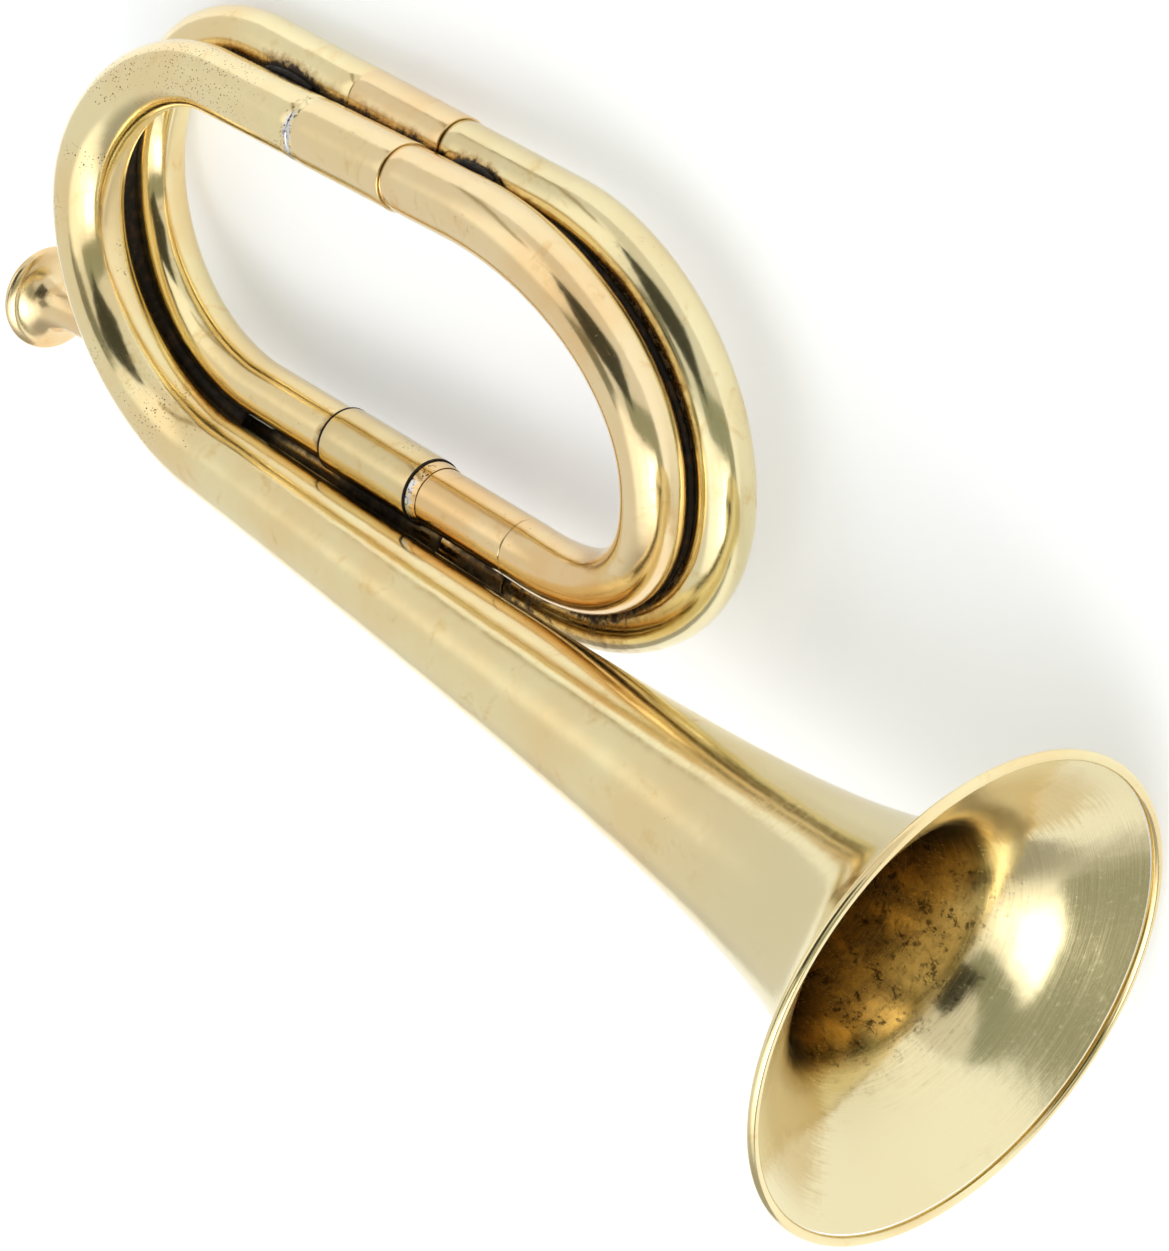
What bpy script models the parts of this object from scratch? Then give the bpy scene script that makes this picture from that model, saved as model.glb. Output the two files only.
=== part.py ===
"""A small brass bugle with two side-by-side coils, lying on its side on a flat surface.

The instrument is built in its own frame and then laid down: x runs along the bell's axis towards the
mouth, which is at x = 0; y runs across the coils, away from the bell's axis; z points to the side that
carries the bell tube. Dimensions are in millimetres until the points reach Blender.
"""

import math

import bpy
from mathutils import Matrix, Vector

MM = 0.001
WALL = 0.5  # sheet brass of the tubes and the bell
GAP = 0.3  # clearance where two pieces meet
SLEEVE_GAP = 0.15  # a ferrule slips over its tubes
TUBE_SIDE_RESOLUTION = 6  # 16 flats round a tube
BOW_STEPS = 16
LEAD = 1.5  # straight tube kept at a bow's end, so that the end is square
TURNED_STEPS = 32

# Bell
BELL_RADIUS = 40.0
BEAD_RADIUS = 0.8
FLARE_EDGE = 2.45  # depth of the flare's edge, just behind the bead
FLARE_DEPTH = 20.0  # the last stretch, which curls out faster than the horn law
FLARE_CURL_POWER = 2.8
HORN_SHIFT = 4.15
HORN_POWER = 0.418
FLARE_JOINT = 72.0  # depth of the brazed joint between flare and stem
STEM_END = 197.0  # depth at which the stem starts to bend

# Straight runs between bows, each from its right end to its left end
FRONT_TOP = ((-127.9, 72.4, -6.7), (-201.3, 70.3, -6.5))
REAR_TOP = ((-116.6, 74.3, -17.7), (-200.9, 75.1, -17.4))
BOTTOM = ((-117.4, 13.1, -12.4), (-196.8, 11.3, -10.6))
LEADPIPE = ((-119.7, 2.3, -17.1), (-238.0, 0.1, -11.8))

# Outer radii, from the bell's stem to the mouthpiece
STEM_END_RADIUS = 7.85
FRONT_LEFT_RADIUS = 6.7
FRONT_TOP_RADII = (5.85, 5.7)
FRONT_RIGHT_RADIUS = 5.2
BOTTOM_RADII = (5.6, 5.5)
REAR_LEFT_RADIUS = 5.4
REAR_TOP_RADII = (5.25, 5.0)
REAR_RIGHT_RADIUS = 4.95
LEADPIPE_RADIUS = 4.8

# Ferrules, which cover the joints of the straight runs
FERRULE_WALL = 0.45
FERRULE_LEFT = -170.0
FERRULE_RIGHT = -145.0
FERRULE_MIDDLE = -157.0
FRONT_TOP_FERRULE_RADIUS = 5.95  # the top tubes are necked, so that their ferrules lie nearly flush
REAR_TOP_FERRULE_RADIUS = 5.3
NECK_STEP = 0.6  # length over which a tube narrows
SOLDER_GROOVE = 1.4  # the groove filled with solder at the front top ferrule's left end
LEADPIPE_FERRULE = (-124.5, -141.5)
LEADPIPE_JOINT = -133.0

# Receiver and mouthpiece, measured along the leadpipe's axis by the instrument's x
LEADPIPE_END = -241.0
RECEIVER_ENDS = (-234.0, -254.0)
RECEIVER_RADIUS = 6.1
RECEIVER_BORE = 4.3
RIM_FACE = -278.5
RIM_RADIUS = 11.0
RIM_WIDEST = 1.4  # depth behind the rim's face at which the mouthpiece is widest
SHANK_LENGTH = 36.5
MOUTHPIECE_THROAT = 1.9
# Depth behind the rim's face, and radius
CUP_OUTSIDE = ((3.2, 9.0), (4.2, 7.3), (5.6, 6.0), (8.0, 5.0), (12.0, 4.4), (18.0, 4.15), (SHANK_LENGTH, 3.8))
BACKBORE = ((SHANK_LENGTH, 3.1), (16.0, MOUTHPIECE_THROAT + 0.1), (10.0, MOUTHPIECE_THROAT))
CUP_INSIDE = ((8.0, 2.3), (5.6, 4.4), (3.0, 6.6), (1.0, 8.0))

# Solder
FILLET_RADIUS = 0.8
FILLET_GAP = 0.12
SOLDER_RING_LENGTH = 2.6
# Where the long runs of solder lie, by x
TOP_LEFT_RUN = (-194.0, -180.0)
TOP_RIGHT_RUN = (-139.0, -129.0)
LEADPIPE_RUN = (-194.0, -180.0)
STEM_RUN = (-190.0, -178.0)

BRASS = (0.83, 0.66, 0.33)
ROSE_BRASS = (0.85, 0.62, 0.36)
SOLDER = (0.62, 0.61, 0.58)


def clear_scene():
    for obj in list(bpy.data.objects):
        bpy.data.objects.remove(obj, do_unlink=True)


def new_collection(name):
    collection = bpy.data.collections.new(name)
    bpy.context.scene.collection.children.link(collection)
    return collection


def metal(name, colour, roughness):
    material = bpy.data.materials.new(name)
    material.use_nodes = True
    shader = material.node_tree.nodes["Principled BSDF"]
    shader.inputs["Base Color"].default_value = (*colour, 1.0)
    shader.inputs["Metallic"].default_value = 1.0
    shader.inputs["Roughness"].default_value = roughness
    return material


def smoothstep(t):
    return t * t * (3 - 2 * t)


def bell_radius(depth):
    """Outer radius of the bell at a depth behind its mouth: a horn law, with a curl near the mouth."""

    def horn(d):
        return BELL_RADIUS * (HORN_SHIFT / (HORN_SHIFT + d)) ** HORN_POWER

    if depth >= FLARE_DEPTH:
        return horn(depth)
    slope = HORN_POWER * horn(FLARE_DEPTH) / (HORN_SHIFT + FLARE_DEPTH)
    start = horn(FLARE_DEPTH)
    curl = BELL_RADIUS - BEAD_RADIUS - start - slope * (FLARE_DEPTH - FLARE_EDGE)
    share = (FLARE_DEPTH - depth) / (FLARE_DEPTH - FLARE_EDGE)
    return start + slope * (FLARE_DEPTH - depth) + curl * share**FLARE_CURL_POWER


def point_at(run, x):
    """The point of a straight run, or of its extension, at the instrument's x."""
    start, end = Vector(run[0]), Vector(run[1])
    return start + (end - start) * ((x - start.x) / (end.x - start.x))


def straight(run, x_from, x_to, radius_from, radius_to, count=2):
    """Centreline points and radii along a straight run."""
    made = []
    for i in range(count):
        t = i / (count - 1)
        radius = radius_from + (radius_to - radius_from) * t
        made.append((point_at(run, x_from + (x_to - x_from) * t), radius))
    return made


def bow(lower, upper, reach, belly, bulge, radii, squareness=2.0):
    """Centreline points and radii of a bow, from its lower tangent point to its upper one.

    It reaches x = reach at the height belly; bulge is how far its middle leans towards +z; radii are
    those at the lower end, the middle and the upper end; squareness 2 is an ellipse.
    """
    made = []
    for i in range(BOW_STEPS + 1):
        turn = i / BOW_STEPS
        angle = math.pi * turn
        end = lower if turn <= 0.5 else upper
        out = math.sin(angle) ** (2 / squareness)
        away = abs(math.cos(angle)) ** (2 / squareness)
        x = end[0] + (reach - end[0]) * out
        y = belly + (end[1] - belly) * away
        z = lower[2] + (upper[2] - lower[2]) * smoothstep(turn) + bulge * math.sin(angle) ** 2
        first, last = (radii[0], radii[1]) if turn <= 0.5 else (radii[1], radii[2])
        radius = first + (last - first) * (2 * turn if turn <= 0.5 else 2 * turn - 1)
        made.append((Vector((x, y, z)), radius))
    return made


def necked(run, x_tube, x_ferrule, radius, ferrule_radius, groove=0.0):
    """A tube that comes along a run, narrows just outside a ferrule, and ends at the joint inside it."""
    away = math.copysign(1.0, x_tube - x_ferrule)
    neck = ferrule_radius - FERRULE_WALL - SLEEVE_GAP
    narrow = x_ferrule + away * (GAP + groove)
    return route(
        straight(run, x_tube, narrow + away * NECK_STEP, radius, radius),
        straight(run, narrow, FERRULE_MIDDLE + away * GAP, neck, neck, count=3),
    )


def route(*stretches):
    """Joins stretches of (point, radius), dropping points that coincide."""
    made = []
    for stretch in stretches:
        for point, radius in stretch:
            if not made or (point - made[-1][0]).length > 0.05:
                made.append((point, radius))
    return made


def add_object(name, data, material, rest):
    obj = bpy.data.objects.new(name, data)
    obj.data.materials.append(material)
    PARTS.objects.link(obj)
    obj.parent = rest
    return obj


def tube(name, points, material, rest, bore=True):
    """A swept tube whose radius follows its points; bore=False makes it a solid rod."""
    curve = bpy.data.curves.new(name, "CURVE")
    curve.dimensions = "3D"
    curve.twist_mode = "MINIMUM"
    curve.bevel_depth = MM
    curve.bevel_resolution = TUBE_SIDE_RESOLUTION if bore else 2
    curve.use_fill_caps = not bore
    spline = curve.splines.new("POLY")
    spline.points.add(len(points) - 1)
    for slot, (point, radius) in zip(spline.points, points):
        slot.co = (*(point * MM), 1.0)
        slot.radius = radius
    obj = add_object(name, curve, material, rest)
    if bore:
        add_wall(obj)
    return obj


def add_wall(obj):
    wall = obj.modifiers.new("wall", "SOLIDIFY")
    wall.thickness = WALL * MM
    wall.offset = -1.0
    wall.use_even_offset = True


def turned(name, profile, material, rest, start, axis, closed=True):
    """A profile of (distance along the axis, radius) turned about the axis that leaves start.

    A closed profile runs down its outer side and back up its bore; an open one is a sheet.
    """
    mesh = bpy.data.meshes.new(name)
    points = [(radius * MM, 0.0, -distance * MM) for distance, radius in profile]
    edges = [(i, i + 1) for i in range(len(points) - 1)]
    if closed:
        edges.append((len(points) - 1, 0))
    mesh.from_pydata(points, edges, [])
    obj = add_object(name, mesh, material, rest)
    screw = obj.modifiers.new("turn", "SCREW")
    screw.axis = "Z"
    screw.steps = TURNED_STEPS
    screw.render_steps = TURNED_STEPS
    screw.use_merge_vertices = True
    screw.merge_threshold = 0.00001
    screw.use_smooth_shade = True
    down = Vector(axis).normalized()
    obj.rotation_mode = "QUATERNION"
    obj.rotation_quaternion = (-down).to_track_quat("Z", "Y")
    obj.location = Vector(start) * MM
    return obj


def spaced(start, end, count, power=1.0):
    return [start + (end - start) * (i / (count - 1)) ** power for i in range(count)]


def add_bell(rest):
    backwards = (-1, 0, 0)
    bead = []
    sides = 12
    for i in range(sides):
        angle = math.tau * (i + 0.5) / sides
        along = BEAD_RADIUS - BEAD_RADIUS * math.cos(angle) / math.cos(math.pi / sides)
        radius = BELL_RADIUS - BEAD_RADIUS + BEAD_RADIUS * math.sin(angle)
        bead.append((along, radius))
    turned("bell_rim_bead", bead, BRASS_METAL, rest, (0, 0, 0), backwards)
    flare = [(d, bell_radius(d)) for d in spaced(FLARE_EDGE, FLARE_JOINT, 15, 1.7)]
    add_wall(turned("bell_flare", flare, BRASS_METAL, rest, (0, 0, 0), backwards, closed=False))
    stem = [(d, bell_radius(d)) for d in spaced(FLARE_JOINT + GAP, STEM_END - LEAD - GAP, 6)]
    add_wall(turned("bell_stem", stem, BRASS_METAL, rest, (0, 0, 0), backwards, closed=False))


def add_coils(rest):
    """The four bows and the straight tubes, in the order in which the air leaves the bell for the lips."""
    stem_axis = ((0, 0, 0), (-STEM_END, 0, 0))
    front_left = bow(
        (-STEM_END, 0.0, 0.0), FRONT_TOP[1], -238.6, 38.1, 3.8,
        (STEM_END_RADIUS, FRONT_LEFT_RADIUS, FRONT_TOP_RADII[0]),
    )
    front_right = bow(
        BOTTOM[0], FRONT_TOP[0], -82.4, 41.7, 1.0,
        (BOTTOM_RADII[0], FRONT_RIGHT_RADIUS, FRONT_TOP_RADII[1]), squareness=2.13,
    )
    rear_left = bow(
        BOTTOM[1], REAR_TOP[1], -240.8, 42.8, -1.9,
        (BOTTOM_RADII[1], REAR_LEFT_RADIUS, REAR_TOP_RADII[0]),
    )
    rear_right = bow(
        LEADPIPE[0], REAR_TOP[0], -76.9, 36.7, -1.1,
        (LEADPIPE_RADIUS, REAR_RIGHT_RADIUS, REAR_TOP_RADII[1]),
    )
    left_of_joint = FERRULE_MIDDLE - GAP
    right_of_joint = FERRULE_MIDDLE + GAP
    bottom_right = BOTTOM[0][0] - LEAD
    tube(
        "front_left_bow",
        route(
            straight(stem_axis, LEAD - STEM_END, -STEM_END, *[STEM_END_RADIUS] * 2),
            front_left,
            necked(
                FRONT_TOP, FRONT_TOP[1][0], FERRULE_LEFT, FRONT_TOP_RADII[0],
                FRONT_TOP_FERRULE_RADIUS, SOLDER_GROOVE,
            ),
        ),
        BRASS_METAL, rest,
    )
    tube(
        "front_right_bow",
        route(
            straight(BOTTOM, BOTTOM[0][0] - LEAD, BOTTOM[0][0], *[BOTTOM_RADII[0]] * 2),
            front_right,
            necked(
                FRONT_TOP, FRONT_TOP[0][0], FERRULE_RIGHT, FRONT_TOP_RADII[1], FRONT_TOP_FERRULE_RADIUS
            ),
        ),
        ROSE_METAL, rest,
    )
    tube(
        "bottom_tube",
        straight(BOTTOM, bottom_right - GAP, right_of_joint, *BOTTOM_RADII, count=3),
        ROSE_METAL, rest,
    )
    tube(
        "rear_left_bow",
        route(
            straight(BOTTOM, left_of_joint, BOTTOM[1][0], *[BOTTOM_RADII[1]] * 2),
            rear_left,
            necked(
                REAR_TOP, REAR_TOP[1][0], FERRULE_LEFT, REAR_TOP_RADII[0], REAR_TOP_FERRULE_RADIUS
            ),
        ),
        ROSE_METAL, rest,
    )
    tube(
        "rear_right_bow",
        route(
            straight(LEADPIPE, LEADPIPE_JOINT + GAP, LEADPIPE[0][0], *[LEADPIPE_RADIUS] * 2),
            rear_right,
            necked(
                REAR_TOP, REAR_TOP[0][0], FERRULE_RIGHT, REAR_TOP_RADII[1], REAR_TOP_FERRULE_RADIUS
            ),
        ),
        BRASS_METAL, rest,
    )
    tube(
        "leadpipe",
        straight(LEADPIPE, LEADPIPE_JOINT - GAP, LEADPIPE_END, *[LEADPIPE_RADIUS] * 2, count=4),
        BRASS_METAL, rest,
    )


def sleeve(name, run, x_from, x_to, inner, outer, material, rest):
    """A plain turned sleeve round a straight run."""
    start = point_at(run, x_from)
    length = (point_at(run, x_to) - start).length
    profile = [(0.0, inner), (0.0, outer), (length, outer), (length, inner)]
    turned(name, profile, material, rest, start, point_at(run, x_to) - start)


def add_ferrules(rest):
    over = SLEEVE_GAP + FERRULE_WALL
    joints = (
        ("front_top_ferrule", FRONT_TOP, FERRULE_RIGHT, FERRULE_LEFT, FRONT_TOP_FERRULE_RADIUS, ROSE_METAL),
        ("rear_top_ferrule", REAR_TOP, FERRULE_RIGHT, FERRULE_LEFT, REAR_TOP_FERRULE_RADIUS, ROSE_METAL),
        ("bottom_ferrule", BOTTOM, FERRULE_RIGHT, FERRULE_LEFT, BOTTOM_RADII[0] + over, ROSE_METAL),
        ("leadpipe_ferrule", LEADPIPE, *LEADPIPE_FERRULE, LEADPIPE_RADIUS + over, BRASS_METAL),
    )
    for name, run, right, left, radius, material in joints:
        sleeve(name, run, right, left, radius - FERRULE_WALL, radius, material, rest)


def add_solder_ring(name, run, ferrule_end, away, tube_radius, rest):
    """A thin cone of solder run out of a ferrule's end along the tube; away is the direction in x."""
    start = point_at(run, ferrule_end + away * GAP)
    end = point_at(run, ferrule_end + away * (GAP + SOLDER_RING_LENGTH))
    inner = tube_radius + FILLET_GAP
    length = (end - start).length
    profile = [(0.0, inner), (0.0, inner + WALL), (length, inner + 0.12), (length, inner)]
    turned(name, profile, SOLDER_METAL, rest, start, end - start)


def valley_point(centre_a, radius_a, centre_b, radius_b, side):
    """Centre of a rod that lies in the valley between two tubes, on the side that side points to."""
    reach_a = radius_a + FILLET_RADIUS + FILLET_GAP
    reach_b = radius_b + FILLET_RADIUS + FILLET_GAP
    between = centre_b - centre_a
    apart = between.length
    along = (reach_a**2 - reach_b**2 + apart**2) / (2 * apart)
    height = math.sqrt(max(reach_a**2 - along**2, 0.0))
    across = side - between * (side.dot(between) / between.length_squared)
    return centre_a + between * (along / apart) + across.normalized() * height


def fillet(name, line_a, line_b, side, rest):
    """A run of solder between two tubes, given as lists of (point, radius) that lie side by side."""
    count = len(line_a)
    points = []
    for i, ((point_a, radius_a), (point_b, radius_b)) in enumerate(zip(line_a, line_b)):
        centre = valley_point(point_a, radius_a, point_b, radius_b, Vector(side))
        fade = math.sin(math.pi * (i + 0.7) / (count + 0.4))
        points.append((centre, FILLET_RADIUS * (0.35 + 0.65 * fade)))
    tube(name, points, SOLDER_METAL, rest, bore=False)


def paired(run_a, radius_a, run_b, radius_b, x_from, x_to, count=5):
    line_a = straight(run_a, x_from, x_to, radius_a, radius_a, count)
    line_b = straight(run_b, x_from, x_to, radius_b, radius_b, count)
    return line_a, line_b


def add_solder(rest):
    neck = FRONT_TOP_FERRULE_RADIUS - FERRULE_WALL - SLEEVE_GAP
    groove_end = FERRULE_LEFT - SOLDER_GROOVE
    sleeve(
        "front_top_solder_ring", FRONT_TOP, FERRULE_LEFT - FILLET_GAP, groove_end,
        neck + FILLET_GAP, FRONT_TOP_RADII[0], SOLDER_METAL, rest,
    )
    add_solder_ring("bottom_solder_ring", BOTTOM, FERRULE_RIGHT, 1, BOTTOM_RADII[0], rest)
    stem_axis = ((0, 0, 0), (-STEM_END, 0, 0))
    tops = paired(FRONT_TOP, FRONT_TOP_RADII[0], REAR_TOP, REAR_TOP_RADII[0], *TOP_LEFT_RUN)
    fillet("solder_top_left", *tops, (0, 1, 0), rest)
    tops = paired(FRONT_TOP, FRONT_TOP_RADII[1], REAR_TOP, REAR_TOP_RADII[1], *TOP_RIGHT_RUN)
    fillet("solder_top_right", *tops, (0, 1, 0), rest)
    lows = paired(BOTTOM, BOTTOM_RADII[0], LEADPIPE, LEADPIPE_RADIUS, *LEADPIPE_RUN)
    fillet("solder_bottom_leadpipe", *lows, (0, 0, -1), rest)
    stem_radius = bell_radius(-sum(STEM_RUN) / 2)
    bells = paired(stem_axis, stem_radius, LEADPIPE, LEADPIPE_RADIUS, *STEM_RUN)
    fillet("solder_bell_leadpipe", *bells, (0, -1, 0), rest)


def add_mouthpiece(rest):
    axis = point_at(LEADPIPE, RIM_FACE) - point_at(LEADPIPE, LEADPIPE_END)
    inwards = -axis.normalized()
    face = point_at(LEADPIPE, RIM_FACE)
    rim = [
        (0.0, RIM_RADIUS - 1.9), (0.35, RIM_RADIUS - 0.7), (RIM_WIDEST, RIM_RADIUS), (2.5, RIM_RADIUS - 0.5),
    ]
    profile = rim + list(CUP_OUTSIDE + BACKBORE + CUP_INSIDE)
    turned("mouthpiece", profile, ROSE_METAL, rest, face, inwards)


def add_receiver(rest):
    """The socket on the end of the leadpipe: a wide bore over the pipe and a narrower one for the shank."""
    start = point_at(LEADPIPE, RECEIVER_ENDS[0])
    end = point_at(LEADPIPE, RECEIVER_ENDS[1])
    length = (end - start).length
    shoulder = (point_at(LEADPIPE, LEADPIPE_END - GAP) - start).length
    pipe_bore = LEADPIPE_RADIUS + SLEEVE_GAP
    profile = [
        (0.0, pipe_bore), (0.0, RECEIVER_RADIUS - 0.5), (1.2, RECEIVER_RADIUS),
        (length - 0.8, RECEIVER_RADIUS), (length, RECEIVER_RADIUS - 0.3), (length, RECEIVER_BORE),
        (shoulder, RECEIVER_BORE - 0.15), (shoulder, pipe_bore),
    ]
    turned("mouthpiece_receiver", profile, BRASS_METAL, rest, start, end - start)


def rest_rotation():
    """Turns the instrument so that the bell's rim, the mouthpiece's rim and the coils' back share a plane."""
    axis = Vector((-1.0, 0.0, 0.0))
    leadpipe = (Vector(LEADPIPE[1]) - Vector(LEADPIPE[0])).normalized()
    rim_centre = point_at(LEADPIPE, RIM_FACE + RIM_WIDEST)
    coil_back = Vector(REAR_TOP[1])
    down = Vector((0.0, 0.0, -1.0))
    for _ in range(30):
        across_bell = (down - axis * down.dot(axis)).normalized()
        bead_centre = -BEAD_RADIUS * Vector((1, 0, 0)) + across_bell * (BELL_RADIUS - BEAD_RADIUS)
        across_lips = (down - leadpipe * down.dot(leadpipe)).normalized()
        support = (
            bead_centre + down * BEAD_RADIUS,
            rim_centre + across_lips * RIM_RADIUS,
            coil_back + down * REAR_TOP_RADII[0],
        )
        normal = (support[1] - support[0]).cross(support[2] - support[0]).normalized()
        down = normal if normal.z < 0 else -normal
    up = -down
    forward = Vector((1, 0, 0)) - up * up.x
    forward.normalize()
    side = up.cross(forward)
    return Matrix((forward, side, up)).to_4x4()


def centre_on_table(rest):
    """Moves the whole instrument so that the middle of its base is the origin."""
    bpy.context.view_layer.update()
    graph = bpy.context.evaluated_depsgraph_get()
    lows, highs = [math.inf] * 3, [-math.inf] * 3
    for obj in PARTS.objects:
        if obj.type == "EMPTY":
            continue
        shown = obj.evaluated_get(graph)
        mesh = shown.to_mesh()
        for vertex in mesh.vertices:
            place = shown.matrix_world @ vertex.co
            lows = [min(low, value) for low, value in zip(lows, place)]
            highs = [max(high, value) for high, value in zip(highs, place)]
        shown.to_mesh_clear()
    rest.location.x -= (lows[0] + highs[0]) / 2
    rest.location.y -= (lows[1] + highs[1]) / 2
    rest.location.z -= lows[2]
    bpy.context.view_layer.update()


clear_scene()
PARTS = new_collection("bugle")
BRASS_METAL = metal("polished_brass", BRASS, 0.22)
ROSE_METAL = metal("warm_brass", ROSE_BRASS, 0.25)
SOLDER_METAL = metal("silver_solder", SOLDER, 0.4)

rest_pose = bpy.data.objects.new("rest_pose", None)
PARTS.objects.link(rest_pose)
rest_pose.matrix_world = rest_rotation()
add_bell(rest_pose)
add_coils(rest_pose)
add_ferrules(rest_pose)
add_solder(rest_pose)
add_receiver(rest_pose)
add_mouthpiece(rest_pose)
centre_on_table(rest_pose)
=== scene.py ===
"""The finished look of a small brass bugle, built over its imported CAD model.

Every CAD tube, ferrule and turned part is replaced by a finer one on the same centrelines. Points are
worked out in the instrument's own frame, in millimetres: x along the bell's axis with the mouth at 0,
y across the coils, z to the side that carries the bell. The studio is described in that frame too.
"""

import math

import bpy
import numpy as np
from mathutils import Matrix, Vector
from mathutils.bvhtree import BVHTree


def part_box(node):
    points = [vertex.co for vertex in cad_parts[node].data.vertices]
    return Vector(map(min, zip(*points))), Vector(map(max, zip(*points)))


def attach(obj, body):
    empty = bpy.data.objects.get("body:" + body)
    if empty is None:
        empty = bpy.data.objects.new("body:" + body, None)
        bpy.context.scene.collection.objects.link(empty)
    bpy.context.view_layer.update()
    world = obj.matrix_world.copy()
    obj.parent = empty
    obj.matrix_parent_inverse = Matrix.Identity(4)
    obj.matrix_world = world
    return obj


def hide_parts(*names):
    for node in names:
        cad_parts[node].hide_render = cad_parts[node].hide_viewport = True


MM = 0.001
WALL = 0.5
GAP = 0.3
SLEEVE_GAP = 0.15
TUBE_SIDES = 96
BOW_STEPS = 80
TURNED_STEPS = 192
SLEEVE_STEPS = 128

# Bell
BELL_RADIUS = 40.0
BEAD_RADIUS = 0.8
FLARE_EDGE = 2.45  # where the curl's formula ends
FLARE_DEPTH = 20.0  # the last stretch, which curls out faster than the horn law
FLARE_CURL_POWER = 2.8
HORN_SHIFT = 4.15
HORN_POWER = 0.418
RIM_CONE_DEPTH = 6.6  # in front of this the flare is a plain cone
RIM_CONE_SLOPE = 1.72
FLARE_START = 1.75  # depth of the flare's edge, inside the bead
FLARE_JOINT = 72.0
STEM_END = 197.0
LEAD = 1.5

# Straight runs between bows, each from its right end to its left end
STEM = ((0.0, 0.0, 0.0), (-STEM_END, 0.0, 0.0))
FRONT_TOP = ((-127.9, 72.4, -6.7), (-201.3, 70.3, -6.5))
REAR_TOP = ((-116.6, 74.3, -17.7), (-200.9, 75.1, -17.4))
BOTTOM = ((-117.4, 13.1, -12.4), (-196.8, 11.3, -10.6))
LEADPIPE = ((-119.7, 2.3, -17.1), (-238.0, 0.1, -11.8))

# Outer radii, from the bell's stem to the mouthpiece
FRONT_LEFT_RADIUS = 6.7
FRONT_TOP_RADII = (5.85, 5.7)
FRONT_RIGHT_RADIUS = 5.2
BOTTOM_RADII = (5.6, 5.5)
REAR_LEFT_RADIUS = 5.4
REAR_TOP_RADII = (5.25, 5.0)
REAR_RIGHT_RADIUS = 4.95
LEADPIPE_RADIUS = 4.8

# Ferrules
FERRULE_WALL = 0.45
FERRULE_LEFT = -170.0
FERRULE_RIGHT = -145.0
FERRULE_MIDDLE = -157.0
FRONT_TOP_FERRULE_RADIUS = 5.95
REAR_TOP_FERRULE_RADIUS = 5.3
NECK_STEP = 0.2
SEAM = 0.12  # open line between a ferrule's end and the tube's full width
SOLDER_GROOVE = 1.4
LEADPIPE_FERRULE = (-124.5, -141.5)
LEADPIPE_JOINT = -133.0

# Receiver and mouthpiece
LEADPIPE_END = -241.0
RECEIVER_ENDS = (-234.0, -254.0)
RECEIVER_RADIUS = 6.1
RECEIVER_BORE = 4.3
RIM_FACE = -278.5
RIM_RADIUS = 11.0
RIM_WIDEST = 1.4
SHANK_LENGTH = 36.5
MOUTHPIECE_THROAT = 1.9

# Solder, and the painted shade and dirt between the tubes
TOP_LEFT_RUN = (-194.0, -180.0)
TOP_RIGHT_RUN = (-139.0, -129.0)
LEADPIPE_RUN = (-194.0, -180.0)
STEM_RUN = (-190.0, -178.0)
FILLET_RADIUS = 0.8
ROD_SIDES = 20
SHADE_WEB_SIDES = 16
SHADE_WEB_REACH = 6.0  # widest gap between two tubes that the painted shade sheet fills
SHADE_WEB_BITE = 0.3  # how far the painted shade sheet goes into each tube
GAP_REACH = 8.0  # farthest that a neighbour is looked for

# Camera, in the instrument's frame
EYE = Vector((195.2, 243.9, 233.6))
LOOK = Vector((-0.6559, -0.5305, -0.5370))
IMAGE_RIGHT = Vector((0.6176, 0.0320, -0.7859))
LENS_MM = 79.03
SHIFT = (0.0099, 0.0168)
FLOOR_LIGHT_WATTS = 3.5
FLOOR_GLOW = 0.27
FLOOR_HALF = 7.0
FLOOR_STEPS = 8
FLOOR_DROP = 0.0002


# ---------------------------------------------------------------- centrelines


def smoothstep(t):
    return t * t * (3 - 2 * t)


def horn(depth):
    return BELL_RADIUS * (HORN_SHIFT / (HORN_SHIFT + depth)) ** HORN_POWER


def bell_radius(depth):
    """Outer radius of the bell at a depth behind its mouth: a horn law, a curl, then a steep cone."""
    if depth >= FLARE_DEPTH:
        return horn(depth)
    if depth < RIM_CONE_DEPTH:
        return bell_radius(RIM_CONE_DEPTH) + RIM_CONE_SLOPE * (RIM_CONE_DEPTH - depth)
    slope = HORN_POWER * horn(FLARE_DEPTH) / (HORN_SHIFT + FLARE_DEPTH)
    start = horn(FLARE_DEPTH)
    curl = BELL_RADIUS - BEAD_RADIUS - start - slope * (FLARE_DEPTH - FLARE_EDGE)
    share = (FLARE_DEPTH - depth) / (FLARE_DEPTH - FLARE_EDGE)
    return start + slope * (FLARE_DEPTH - depth) + curl * share**FLARE_CURL_POWER


def point_at(run, x):
    start, end = Vector(run[0]), Vector(run[1])
    return start + (end - start) * ((x - start.x) / (end.x - start.x))


def straight(run, x_from, x_to, radius_from, radius_to=None, spacing=2.5):
    radius_to = radius_from if radius_to is None else radius_to
    count = max(2, round(abs(x_to - x_from) / spacing) + 1)
    made = []
    for i in range(count):
        t = i / (count - 1)
        x = x_from + (x_to - x_from) * t
        made.append((point_at(run, x), radius_from + (radius_to - radius_from) * t))
    return made


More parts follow.
